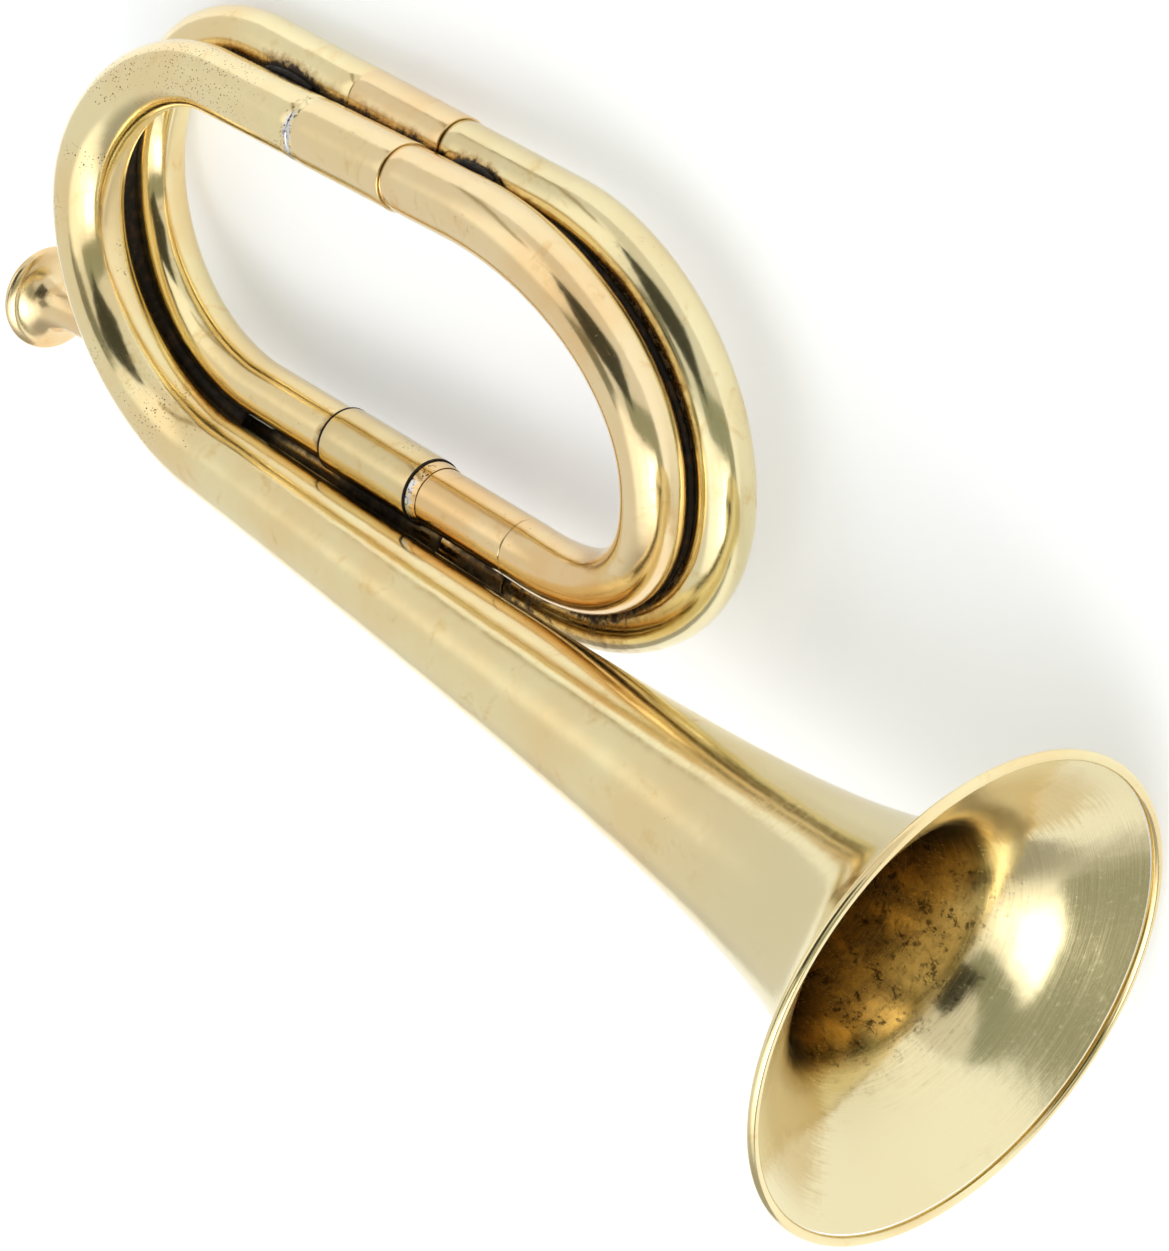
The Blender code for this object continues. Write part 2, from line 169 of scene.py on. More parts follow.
def bow(lower, upper, reach, belly, bulge, radii, squareness=2.0):
    """A bow from its lower tangent point to its upper one, as in the CAD part."""
    made = []
    for i in range(BOW_STEPS + 1):
        turn = i / BOW_STEPS
        angle = math.pi * turn
        end = lower if turn <= 0.5 else upper
        out = math.sin(angle) ** (2 / squareness) if 0 < i < BOW_STEPS else 0.0
        away = abs(math.cos(angle)) ** (2 / squareness)
        x = end[0] + (reach - end[0]) * out
        y = belly + (end[1] - belly) * away
        z = lower[2] + (upper[2] - lower[2]) * smoothstep(turn) + bulge * math.sin(angle) ** 2
        first, last = (radii[0], radii[1]) if turn <= 0.5 else (radii[1], radii[2])
        share = 2 * turn if turn <= 0.5 else 2 * turn - 1
        made.append((Vector((x, y, z)), first + (last - first) * smoothstep(share)))
    return made


def route(*stretches):
    made = []
    for stretch in stretches:
        for point, radius in stretch:
            if not made or (point - made[-1][0]).length > 0.05:
                made.append((point, radius))
    return made


def necked(run, x_tube, x_ferrule, radius, ferrule_radius, groove=0.0):
    """A tube that narrows just outside a ferrule and ends at the joint inside it."""
    away = math.copysign(1.0, x_tube - x_ferrule)
    neck = ferrule_radius - FERRULE_WALL - SLEEVE_GAP
    narrow = x_ferrule + away * (SEAM + groove)
    shoulder = narrow + away * NECK_STEP
    return route(
        straight(run, x_tube, shoulder + away * 0.1, radius),
        straight(run, shoulder, narrow + away * 0.05, radius - 0.05, radius - 0.35, spacing=0.08),
        straight(run, narrow, FERRULE_MIDDLE + away * GAP, neck),
    )


# ---------------------------------------------------------------- meshes


def rest_rotation():
    """Turns the instrument so that bell rim, mouthpiece rim and the coils' back share a plane."""
    axis = Vector((-1.0, 0.0, 0.0))
    leadpipe = (Vector(LEADPIPE[1]) - Vector(LEADPIPE[0])).normalized()
    rim_centre = point_at(LEADPIPE, RIM_FACE + RIM_WIDEST)
    coil_back = Vector(REAR_TOP[1])
    down = Vector((0.0, 0.0, -1.0))
    for _ in range(30):
        across_bell = (down - axis * down.dot(axis)).normalized()
        bead_centre = -BEAD_RADIUS * Vector((1, 0, 0)) + across_bell * (BELL_RADIUS - BEAD_RADIUS)
        across_lips = (down - leadpipe * down.dot(leadpipe)).normalized()
        support = (
            bead_centre + down * BEAD_RADIUS,
            rim_centre + across_lips * RIM_RADIUS,
            coil_back + down * REAR_TOP_RADII[0],
        )
        normal = (support[1] - support[0]).cross(support[2] - support[0]).normalized()
        down = normal if normal.z < 0 else -normal
    up = -down
    forward = (Vector((1, 0, 0)) - up * up.x).normalized()
    return Matrix((forward, up.cross(forward), up))


def instrument_to_world():
    """The instrument's frame, in millimetres, to the CAD's world. The bead's box gives its place."""
    low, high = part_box("bell_rim_bead")
    turn = rest_rotation()
    middle = (Vector(low) + Vector(high)) / 2
    move = middle - turn @ (Vector((-BEAD_RADIUS, 0, 0)) * MM)
    return Matrix.Translation(move) @ turn.to_4x4() @ Matrix.Scale(MM, 4)


def loop_mesh(name, rings, runs, rounds, inside):
    """A closed skin from rings of points: rings[i][j], each ring closed, and the last joined to the first.

    It keeps what its material needs: place in the instrument's frame, distance along (run), cosine and
    sine of the angle round the axis (spin) and whether a point is on the inner skin.
    """
    count, sides = rings.shape[:2]
    world = np.array(TO_WORLD)
    points = rings.reshape(-1, 3) @ world[:3, :3].T + world[:3, 3]
    i, j = np.meshgrid(np.arange(count), np.arange(sides), indexing="ij")
    after, beside = (i + 1) % count, (j + 1) % sides
    faces = np.stack([i * sides + j, after * sides + j, after * sides + beside, i * sides + beside], -1)
    mesh = bpy.data.meshes.new(name)
    mesh.from_pydata(points.tolist(), [], faces.reshape(-1, 4).tolist())
    obj = bpy.data.objects.new(name, mesh)
    bpy.context.scene.collection.objects.link(obj)
    mesh.shade_smooth()
    place = mesh.attributes.new("place", "FLOAT_VECTOR", "POINT")
    place.data.foreach_set("vector", rings.reshape(-1).astype(np.float32))
    for key, values in (("run", runs), ("inside", inside)):
        data = mesh.attributes.new(key, "FLOAT", "POINT").data
        data.foreach_set("value", np.repeat(np.asarray(values, np.float32), sides))
    spins = np.stack([np.cos(rounds), np.sin(rounds), np.zeros(sides)], -1)
    data = mesh.attributes.new("spin", "FLOAT_VECTOR", "POINT").data
    data.foreach_set("vector", np.tile(spins, (count, 1)).reshape(-1).astype(np.float32))
    mesh.set_sharp_from_angle(angle=math.radians(38))
    return obj


def frames_along(points):
    """Two vectors across the path at each point, carried along it without twist."""
    tangents = np.gradient(points, axis=0)
    tangents[0], tangents[-1] = points[1] - points[0], points[-1] - points[-2]
    tangents /= np.linalg.norm(tangents, axis=1)[:, None]
    side = np.cross(tangents[0], (0.0, 0.0, 1.0))
    side /= np.linalg.norm(side)
    sides, others = [], []
    for tangent in tangents:
        side = side - tangent * side.dot(tangent)
        side /= np.linalg.norm(side)
        sides.append(side)
        others.append(np.cross(tangent, side))
    return np.array(sides), np.array(others)


def tube(name, path, wall=WALL, lip=0.12, soft_start=True):
    """A hollow tube along a path of (point, outer radius), with softened ends."""
    first, last = path[0], path[-1]
    near = (first[0] + (path[1][0] - first[0]).normalized() * lip, first[1])
    far = (last[0] + (path[-2][0] - last[0]).normalized() * lip, last[1])
    start = [(first[0], first[1] - lip), near] if soft_start else [first]
    path = [*start, *path[1:-1], far, (last[0], last[1] - lip)]
    centres = np.array([tuple(p) for p, _ in path])
    radii = np.array([r for _, r in path])
    across, other = frames_along(centres)
    runs = np.concatenate([[0], np.cumsum(np.linalg.norm(np.diff(centres, axis=0), axis=1))])
    turn = np.linspace(0, math.tau, TUBE_SIDES, endpoint=False)
    around = across[:, None] * np.cos(turn)[None, :, None] + other[:, None] * np.sin(turn)[None, :, None]
    outer = centres[:, None] + around * radii[:, None, None]
    bore = centres[:, None] + around * (radii - wall)[:, None, None]
    rings = np.concatenate([outer, bore[::-1]])
    inside = [0.0] * len(path) + [1.0] * len(path)
    return loop_mesh(name, rings, np.concatenate([runs, runs[::-1]]), turn, inside)


def turned(name, profile, start, axis, inside_from=None, steps=TURNED_STEPS):
    """A closed profile of (distance along, radius), down its outer side and back up its bore, turned."""
    axis = Vector(axis).normalized()
    across, other = frames_along(np.array([tuple(Vector(start)), tuple(Vector(start) + axis)]))
    turn = np.linspace(0, math.tau, steps, endpoint=False)
    around = across[0][None] * np.cos(turn)[:, None] + other[0][None] * np.sin(turn)[:, None]
    along = np.array([d for d, _ in profile])
    radii = np.array([r for _, r in profile])
    centres = np.array(tuple(Vector(start)))[None] + along[:, None] * np.array(tuple(axis))[None]
    rings = centres[:, None] + around[None] * radii[:, None, None]
    lengths = np.hypot(np.diff(along), np.diff(radii))
    runs = np.concatenate([[0], np.cumsum(lengths)])
    split = len(profile) if inside_from is None else inside_from
    inside = [0.0 if i < split else 1.0 for i in range(len(profile))]
    return loop_mesh(name, rings, runs, turn, inside)


def softened(profile, radius=0.15, steps=4):
    """Rounds every corner of a closed profile."""
    made = []
    count = len(profile)
    for i in range(count):
        before, here, after = (Vector(profile[k % count]) for k in (i - 1, i, i + 1))
        to_before, to_after = before - here, after - here
        if min(to_before.length, to_after.length) < 1e-6 or to_before.angle(to_after) > math.radians(150):
            made.append(tuple(here))
            continue
        reach = min(radius, 0.45 * to_before.length, 0.45 * to_after.length)
        a, b = here + to_before.normalized() * reach, here + to_after.normalized() * reach
        for k in range(steps + 1):
            t = k / steps
            made.append(tuple(a * (1 - t) ** 2 + here * 2 * t * (1 - t) + b * t * t))
    return made


def curve_through(points, steps=5):
    """A smooth profile through points (Catmull-Rom)."""
    made = []
    points = [Vector(p) for p in points]
    for i in range(len(points) - 1):
        p1, p2 = points[i], points[i + 1]
        p0 = points[i - 1] if i else p1 * 2 - p2
        p3 = points[i + 2] if i + 2 < len(points) else p2 * 2 - p1
        for k in range(steps):
            t = k / steps
            made.append(tuple(
                (p1 * 2 + (p2 - p0) * t + (p0 * 2 - p1 * 5 + p2 * 4 - p3) * t**2
                 + (p1 * 3 - p0 - p2 * 3 + p3) * t**3) / 2
            ))
    made.append(tuple(points[-1]))
    return made


# ---------------------------------------------------------------- the pieces


def make_bell():
    backwards = (-1, 0, 0)
    sides, flare_steps, stem_steps = 28, 90, 50
    bead = []
    for i in range(sides):
        angle = math.tau * i / sides
        depth = BEAD_RADIUS - BEAD_RADIUS * math.cos(angle)
        bead.append((depth, BELL_RADIUS - BEAD_RADIUS + BEAD_RADIUS * math.sin(angle)))
    rim = turned("rim_bead", bead, (0, 0, 0), backwards)
    outer, inner = [], []
    for i in range(flare_steps):
        depth = FLARE_START + (FLARE_JOINT - FLARE_START) * (i / (flare_steps - 1)) ** 1.6
        lean = math.atan2(bell_radius(depth - 0.05) - bell_radius(depth + 0.05), 0.1)
        radius = min(bell_radius(depth), BELL_RADIUS - 0.5)
        outer.append((depth, radius))
        inner.append((depth - WALL * math.sin(lean), radius - WALL * math.cos(lean)))
    inner[0] = (inner[0][0], min(inner[0][1], BELL_RADIUS - 1.2))
    flare = turned("flare", outer + inner[::-1], (0, 0, 0), backwards, inside_from=len(outer))
    outer = []
    for i in range(stem_steps):
        depth = FLARE_JOINT + (STEM_END - LEAD - FLARE_JOINT) * i / (stem_steps - 1)
        outer.append((depth, bell_radius(depth)))
    inner = [(d, r - WALL) for d, r in outer]
    stem = turned("stem", outer + inner[::-1], (0, 0, 0), backwards, inside_from=len(outer))
    return {"bell_rim_bead": rim, "bell_flare": flare, "bell_stem": stem}


def coil_routes():
    """The centreline of each bent or straight tube, as (point, outer radius)."""
    front_left = bow(
        (-STEM_END, 0.0, 0.0), FRONT_TOP[1], -238.6, 38.1, 3.8,
        (bell_radius(STEM_END - LEAD), FRONT_LEFT_RADIUS, FRONT_TOP_RADII[0]),
    )
    front_right = bow(
        BOTTOM[0], FRONT_TOP[0], -82.4, 41.7, 1.0,
        (BOTTOM_RADII[0], FRONT_RIGHT_RADIUS, FRONT_TOP_RADII[1]), squareness=2.13,
    )
    rear_left = bow(
        BOTTOM[1], REAR_TOP[1], -240.8, 42.8, -1.9,
        (BOTTOM_RADII[1], REAR_LEFT_RADIUS, REAR_TOP_RADII[0]),
    )
    rear_right = bow(
        LEADPIPE[0], REAR_TOP[0], -76.9, 36.7, -1.1,
        (LEADPIPE_RADIUS, REAR_RIGHT_RADIUS, REAR_TOP_RADII[1]),
    )
    left, right = FERRULE_MIDDLE - GAP, FERRULE_MIDDLE + GAP
    top_left, top_right = FRONT_TOP[1][0], FRONT_TOP[0][0]
    return {
        "front_left_bow": route(
            straight(STEM, LEAD - STEM_END, -STEM_END, bell_radius(STEM_END - LEAD)),
            front_left,
            necked(
                FRONT_TOP, top_left, FERRULE_LEFT, FRONT_TOP_RADII[0], FRONT_TOP_FERRULE_RADIUS, SOLDER_GROOVE
            ),
        ),
        "front_right_bow": route(
            straight(BOTTOM, BOTTOM[0][0] - LEAD, BOTTOM[0][0], BOTTOM_RADII[0]),
            front_right,
            necked(FRONT_TOP, top_right, FERRULE_RIGHT, FRONT_TOP_RADII[1], FRONT_TOP_FERRULE_RADIUS),
        ),
        "bottom_tube": straight(BOTTOM, BOTTOM[0][0] - LEAD - 0.12, right, *BOTTOM_RADII),
        "rear_left_bow": route(
            straight(BOTTOM, left, BOTTOM[1][0], BOTTOM_RADII[1]),
            rear_left,
            necked(REAR_TOP, REAR_TOP[1][0], FERRULE_LEFT, REAR_TOP_RADII[0], REAR_TOP_FERRULE_RADIUS),
        ),
        "rear_right_bow": route(
            straight(LEADPIPE, LEADPIPE_JOINT + GAP, LEADPIPE[0][0], LEADPIPE_RADIUS),
            rear_right,
            necked(REAR_TOP, REAR_TOP[0][0], FERRULE_RIGHT, REAR_TOP_RADII[1], REAR_TOP_FERRULE_RADIUS),
        ),
        "leadpipe": straight(LEADPIPE, LEADPIPE_JOINT - GAP, LEADPIPE_END, LEADPIPE_RADIUS),
    }


def make_coils():
    names = {
        "front_left_bow": "bow_front_left",
        "front_right_bow": "bow_front_right",
        "bottom_tube": "tube_bottom",
        "rear_left_bow": "bow_rear_left",
        "rear_right_bow": "bow_rear_right",
        "leadpipe": "pipe_to_mouth",
    }
    routes = coil_routes()
    made = {}
    for node, name in names.items():
        made[node] = tube(name, routes[node], soft_start=node != "front_left_bow")
    return made


def sleeve(name, run, x_from, x_to, inner, outer, soft=0.16):
    start = point_at(run, x_from)
    axis = point_at(run, x_to) - start
    length = axis.length
    outside = [(length * i / 10, outer) for i in range(11)]
    profile = softened([(0.0, inner), *outside, (length, inner)], soft)
    return turned(name, profile, start, axis, steps=SLEEVE_STEPS)


def make_ferrules():
    over = SLEEVE_GAP + FERRULE_WALL
    joints = (
        ("front_top_ferrule", FRONT_TOP, FERRULE_RIGHT, FERRULE_LEFT, FRONT_TOP_FERRULE_RADIUS),
        ("rear_top_ferrule", REAR_TOP, FERRULE_RIGHT, FERRULE_LEFT, REAR_TOP_FERRULE_RADIUS),
        ("bottom_ferrule", BOTTOM, FERRULE_RIGHT, FERRULE_LEFT, BOTTOM_RADII[0] + over),
        ("leadpipe_ferrule", LEADPIPE, *LEADPIPE_FERRULE, LEADPIPE_RADIUS + over),
    )
    made = {}
    for node, run, right, left, radius in joints:
        name = node.replace("ferrule", "sleeve")
        made[node] = sleeve(name, run, right, left, radius - FERRULE_WALL, radius)
    return made


def make_receiver():
    start, end = point_at(LEADPIPE, RECEIVER_ENDS[0]), point_at(LEADPIPE, RECEIVER_ENDS[1])
    length = (end - start).length
    shoulder = (point_at(LEADPIPE, LEADPIPE_END - GAP) - start).length
    pipe_bore = LEADPIPE_RADIUS + SLEEVE_GAP
    groove = RECEIVER_RADIUS - 0.35
    profile = softened([
        (0.0, pipe_bore), (0.0, RECEIVER_RADIUS - 0.5), (1.2, RECEIVER_RADIUS),
        (length - 2.6, RECEIVER_RADIUS), (length - 2.3, groove), (length - 1.9, groove),
        (length - 1.6, RECEIVER_RADIUS), (length, RECEIVER_RADIUS), (length, RECEIVER_BORE),
        (shoulder, RECEIVER_BORE - 0.15), (shoulder, pipe_bore),
    ], 0.2)
    return {"mouthpiece_receiver": turned("receiver", profile, start, end - start, steps=SLEEVE_STEPS)}


def make_mouthpiece():
    face = point_at(LEADPIPE, RIM_FACE)
    inwards = point_at(LEADPIPE, LEADPIPE_END) - face
    outer = curve_through([
        (0.02, 9.1), (0.0, 9.6), (0.45, 10.5), (RIM_WIDEST, RIM_RADIUS), (2.3, 10.75), (2.9, 9.9),
        (3.2, 8.9), (4.0, 7.5), (5.4, 6.15), (8.0, 5.1), (12.0, 4.45), (18.0, 4.15), (27.0, 3.95),
        (SHANK_LENGTH - 0.2, 3.8),
    ])
    bore = curve_through([
        (SHANK_LENGTH, 3.6), (SHANK_LENGTH, 3.15), (28.0, 2.75), (16.0, MOUTHPIECE_THROAT + 0.1),
        (10.0, MOUTHPIECE_THROAT), (8.2, 2.2), (6.6, 3.6), (4.6, 5.6), (2.6, 7.0), (1.0, 7.9), (0.3, 8.5),
    ])
    return {"mouthpiece": turned("lip_piece", outer + bore, face, inwards, inside_from=len(outer))}


# ---------------------------------------------------------------- solder


def lumpy_rod(name, centres, radii, lean, seed):
    """A run of solder: a rod whose thickness wanders as it was wiped."""
    rng = np.random.default_rng(seed)
    count, sides = len(centres), ROD_SIDES
    across, other = frames_along(centres)
    turn = np.linspace(0, math.tau, sides, endpoint=False)
    around = across[:, None] * np.cos(turn)[None, :, None] + other[:, None] * np.sin(turn)[None, :, None]
    rough = rng.normal(0, 1, (count, sides))
    for _ in range(3):
        rough = (rough + np.roll(rough, 1, 1) + np.roll(rough, -1, 1)) / 3
        rough[1:-1] = (rough[:-2] + rough[1:-1] + rough[2:]) / 3
    shape = radii[:, None] * (0.93 + 0.12 * rough)
    rings = centres[:, None] + around * shape[..., None]
    poles = np.stack([np.repeat(centres[:1], sides, 0), np.repeat(centres[-1:], sides, 0)])
    rings = np.concatenate([poles[:1] - lean * 0.02, rings, poles[1:] + lean * 0.02])
    obj = loop_mesh(name, rings, np.arange(len(rings)), turn, np.zeros(len(rings)))
    close_ends(obj, sides)
    return obj


def close_ends(obj, sides):
    """Turns a loop of rings whose first and last rings are points into a solid rod."""
    mesh = obj.data
    count = len(mesh.vertices) // sides
    first, last = 0, (count - 1) * sides
    place = np.empty(len(mesh.vertices) * 3, np.float32)
    mesh.attributes["place"].data.foreach_get("vector", place)
    faces = []
    for polygon in mesh.polygons:
        face = tuple(polygon.vertices)
        if min(face) < sides and max(face) >= last:
            continue
        short = []
        for v in face:
            v = first if v < sides else last if v >= last else v
            if v not in short:
                short.append(v)
        faces.append(short)
    used = sorted({v for face in faces for v in face})
    index = {v: i for i, v in enumerate(used)}
    points = [tuple(mesh.vertices[v].co) for v in used]
    fresh = bpy.data.meshes.new(mesh.name)
    fresh.from_pydata(points, [], [[index[v] for v in face] for face in faces])
    fresh.shade_smooth()
    data = fresh.attributes.new("place", "FLOAT_VECTOR", "POINT").data
    data.foreach_set("vector", place.reshape(-1, 3)[used].reshape(-1))
    obj.data = fresh


def valley_point(centre_a, radius_a, centre_b, radius_b, side, rod):
    """Where a rod touches two parallel tubes, on the side that side points to."""
    reach_a, reach_b = radius_a + rod, radius_b + rod
    between = centre_b - centre_a
    apart = between.length
    along = (reach_a**2 - reach_b**2 + apart**2) / (2 * apart)
    height = math.sqrt(max(reach_a**2 - along**2, 0.0))
    across = side - between * (side.dot(between) / between.length_squared)
    return centre_a + between * (along / apart) + across.normalized() * height


def fillet(name, run_a, radius_a, run_b, radius_b, stretch, side, seed):
    """A run of solder in the valley between two tubes, over a stretch of x."""
    x_from, x_to = stretch
    count = 41
    centres, radii = [], []
    for i in range(count):
        t = i / (count - 1)
        x = x_from + (x_to - x_from) * t
        rod = FILLET_RADIUS * (0.3 + 0.7 * math.sin(math.pi * (0.08 + 0.84 * t)) ** 0.5)
        a, b = point_at(run_a, x), point_at(run_b, x)
        centres.append(tuple(valley_point(a, radius_a, b, radius_b, Vector(side), rod)))
        radii.append(rod * 1.06)
    centres = np.array(centres)
    return lumpy_rod(name, centres, np.array(radii), centres[-1] - centres[-2], seed)


def make_solder():
    neck = FRONT_TOP_FERRULE_RADIUS - FERRULE_WALL - SLEEVE_GAP
    ring_end = point_at(BOTTOM, FERRULE_RIGHT + 2.9)
    ring_start = point_at(BOTTOM, FERRULE_RIGHT + 0.25)
    length = (ring_end - ring_start).length
    inner = BOTTOM_RADII[0] + 0.03
    cone = softened([(0.0, inner), (0.0, inner + 0.4), (length, inner + 0.07), (length, inner)], 0.1)
    made = {
        "front_top_solder_ring": sleeve(
            "solder_band_top", FRONT_TOP, FERRULE_LEFT - 0.06, FERRULE_LEFT - SOLDER_GROOVE,
            neck + 0.06, FRONT_TOP_RADII[0] + 0.02, 0.2,
        ),
        "bottom_solder_ring": turned(
            "solder_band_bottom", cone, ring_start, ring_end - ring_start, steps=SLEEVE_STEPS
        ),
    }
    front, rear = FRONT_TOP_RADII, REAR_TOP_RADII
    stem_radius = bell_radius(-sum(STEM_RUN) / 2)
    pipe = (LEADPIPE, LEADPIPE_RADIUS)
    for node, name, run, radius, other, stretch, side, seed in (
        ("top_left", "top_left", FRONT_TOP, front[0], (REAR_TOP, rear[0]), TOP_LEFT_RUN, (0, 1, 0), 3),
        ("top_right", "top_right", FRONT_TOP, front[1], (REAR_TOP, rear[0]), TOP_RIGHT_RUN, (0, 1, 0), 5),
        ("bottom_leadpipe", "bottom", BOTTOM, BOTTOM_RADII[0], pipe, LEADPIPE_RUN, (0, 0, -1), 7),
        ("bell_leadpipe", "bell", STEM, stem_radius, pipe, STEM_RUN, (0, -1, 0), 9),
    ):
        made[f"solder_{node}"] = fillet(f"solder_run_{name}", run, radius, *other, stretch, side, seed)
    return made


def shade_web(name, route_a, route_b, seed):
    """A dark sheet of painted shade and dirt in the gap between two tubes, wherever they run close together.
    """
    centres_b = np.array([tuple(p) for p, _ in route_b])
    radii_b = np.array([r for _, r in route_b])
    rows = []
    for point, radius in route_a:
        offsets = centres_b - np.array(tuple(point))
        distances = np.linalg.norm(offsets, axis=1)
        nearest = int(np.argmin(distances - radii_b))
        across = offsets[nearest] / distances[nearest]
        gap = distances[nearest] - radii_b[nearest] - radius
        if gap < SHADE_WEB_REACH:
            middle = np.array(tuple(point)) + across * (radius + gap / 2)
            rows.append((middle, across, max(gap, 0.0) / 2 + SHADE_WEB_BITE))
    middles = np.array([row[0] for row in rows])
    across = np.array([row[1] for row in rows])
    halves = np.array([row[2] for row in rows])
    along = np.gradient(middles, axis=0)
    up = np.cross(along, across)
    up /= np.linalg.norm(up, axis=1)[:, None]
    rng = np.random.default_rng(seed)
    sides = SHADE_WEB_SIDES
    thick = rng.normal(0, 1, len(rows))
    for _ in range(3):
        thick = (thick + np.roll(thick, 1) + np.roll(thick, -1)) / 3
    from_end = np.minimum(np.arange(len(rows)), np.arange(len(rows))[::-1])
    taper = np.minimum(1.0, from_end / 3 + 0.15)
    height = (0.85 + 0.25 * thick) * taper
    turn = np.linspace(0, math.tau, sides, endpoint=False)
    rings = (
        middles[:, None]
        + across[:, None] * (np.cos(turn)[None, :, None] * halves[:, None, None])
        + up[:, None] * (np.sin(turn)[None, :, None] * height[:, None, None])
    )
    poles = np.stack([np.repeat(middles[:1], sides, 0), np.repeat(middles[-1:], sides, 0)])
    rings = np.concatenate([poles[:1], rings, poles[1:]])
    obj = loop_mesh(name, rings, np.arange(len(rings)), turn, np.zeros(len(rings)))
    close_ends(obj, sides)
    return obj


def make_shade_and_dirt():
    """Dark sheets and rings of painted shade and dirt between the coils and in the corners beside the bottom
    ferrule.
    """
    routes = coil_routes()
    stem = [(p, bell_radius(-p.x)) for p, _ in straight(STEM, -100.0, LEAD - STEM_END, 1.0)]
    lower_left = [(p, r) for p, r in routes["rear_left_bow"] if p.y < BOTTOM[0][1]]
    ferrule_radius = BOTTOM_RADII[0] + SLEEVE_GAP + FERRULE_WALL
    sleeves = [
        straight(run, FERRULE_RIGHT, FERRULE_LEFT, radius)
        for run, radius in (
            (FRONT_TOP, FRONT_TOP_FERRULE_RADIUS),
            (REAR_TOP, REAR_TOP_FERRULE_RADIUS),
            (BOTTOM, ferrule_radius),
        )
    ]
    pipe = routes["leadpipe"]
    made = {}
    # Dark sheets of painted shade, with dirt, between tubes that run close together.
    for name, a, b, seed in (
        ("shade_web_left_bows", routes["front_left_bow"], routes["rear_left_bow"], 21),
        ("shade_web_right_bows", routes["front_right_bow"], routes["rear_right_bow"], 22),
        ("shade_web_top_sleeves", sleeves[0], sleeves[1], 23),
        ("shade_web_bottom", routes["bottom_tube"], pipe, 24),
        ("shade_web_bottom_sleeve", sleeves[2], pipe, 25),
        ("shade_web_lower_left", lower_left, pipe, 26),
        ("shade_web_stem", stem, pipe, 28),
    ):
        made[name] = shade_web(name, a, b, seed)
    # Dark rings at the bottom ferrule's ends: painted shade in the groove there, with dirt.
    for name, x, away in (("shade_ring_left", FERRULE_LEFT, -1), ("shade_ring_right", FERRULE_RIGHT, 1)):
        made[name] = sleeve(
            name, BOTTOM, x - away * 0.1, x + away * 0.42, BOTTOM_RADII[1] - 0.1, ferrule_radius + 0.02, 0.12
        )
    return made


# Pieces that meet end to end or one inside the other: their joint gets no painted shade or patina.
FLUSH_JOINTS = {
    "bell_rim_bead": ("bell_flare",),
    "bell_flare": ("bell_rim_bead", "bell_stem"),
    "bell_stem": ("bell_flare", "front_left_bow"),
    "front_left_bow": ("bell_stem", "front_top_solder_ring", "front_top_ferrule"),
    "front_right_bow": ("bottom_tube", "front_top_ferrule"),
    "rear_left_bow": ("rear_top_ferrule",),
    "rear_right_bow": ("rear_top_ferrule", "leadpipe_ferrule", "leadpipe"),
    "bottom_tube": ("front_right_bow", "bottom_solder_ring"),
    "front_top_solder_ring": ("front_left_bow", "front_top_ferrule"),
    "bottom_solder_ring": ("bottom_tube", "bottom_ferrule"),
    "front_top_ferrule": ("front_left_bow", "front_right_bow", "front_top_solder_ring"),
    "rear_top_ferrule": ("rear_left_bow", "rear_right_bow"),
    "bottom_ferrule": ("rear_left_bow", "bottom_tube", "bottom_solder_ring"),
    "leadpipe_ferrule": ("rear_right_bow", "leadpipe"),
    "mouthpiece_receiver": ("leadpipe", "mouthpiece"),
    "mouthpiece": ("leadpipe",),
}


def store_gaps(pieces):
    """Gives each point its distance from the nearest other piece, up to GAP_REACH: the brass gets painted
    shade and patina in gaps.
    """
    trees = {}
    for name, obj in pieces.items():
        points = np.empty(len(obj.data.vertices) * 3, np.float32)
        obj.data.attributes["place"].data.foreach_get("vector", points)
        points = points.reshape(-1, 3)
        polygons = [tuple(p.vertices) for p in obj.data.polygons]
        tree = BVHTree.FromPolygons([tuple(p) for p in points.tolist()], polygons)
        trees[name] = (tree, points, points.min(0), points.max(0))
    for name, obj in pieces.items():
        _, points, low, high = trees[name]
        gaps = np.full(len(points), GAP_REACH, np.float32)
        for other, (tree, _, other_low, other_high) in trees.items():
            if other == name or other in FLUSH_JOINTS.get(name, ()):
                continue
            other_low, other_high = other_low - GAP_REACH, other_high + GAP_REACH
            if (other_low > high).any() or (other_high < low).any():
                continue
            near = ((points > other_low) & (points < other_high)).all(1)
            for i in np.nonzero(near)[0]:
                found = tree.find_nearest(Vector(points[i].tolist()), float(gaps[i]))
                if found[0] is not None:
                    gaps[i] = found[3]
        obj.data.attributes.new("gap", "FLOAT", "POINT").data.foreach_set("value", gaps)


# ---------------------------------------------------------------- materials


